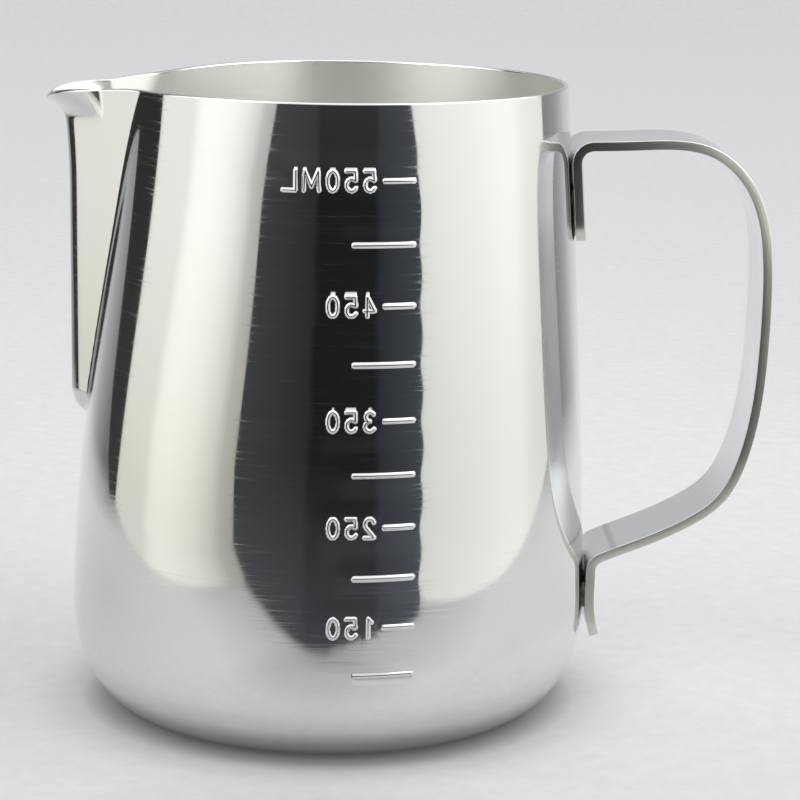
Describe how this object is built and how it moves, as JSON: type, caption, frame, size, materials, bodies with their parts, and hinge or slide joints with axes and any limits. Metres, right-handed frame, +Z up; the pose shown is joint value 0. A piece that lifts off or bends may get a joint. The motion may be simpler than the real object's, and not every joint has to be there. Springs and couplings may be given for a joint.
{
  "type": "milk frothing pitcher",
  "caption": "Drawn steel milk frothing pitcher: tapered shell with a pulled V spout and a pressed-in volume scale, and a bent strap handle spot-welded to its side.",
  "frame": {"origin": "centre of the base circle, on the surface the pitcher stands on", "axes": "+Z up along the shell's axis, +X from the axis towards the handle (the spout points to -X), +Y to the left of someone looking from the spout to the handle"},
  "size_m": [0.1245, 0.0901, 0.1087],
  "materials": {
    "polished_shell": "mirror-polished stainless steel outside, brushed inside",
    "brushed_strap": "satin brushed stainless steel along the strap",
    "weld_metal": "fused stainless steel, hidden between tab and shell"
  },
  "bodies": {
    "root": {"pitcher_body": "polished_shell", "handle_strap": "brushed_strap", "upper_spot_welds": "weld_metal", "lower_spot_welds": "weld_metal"}
  },
  "joints": []
}
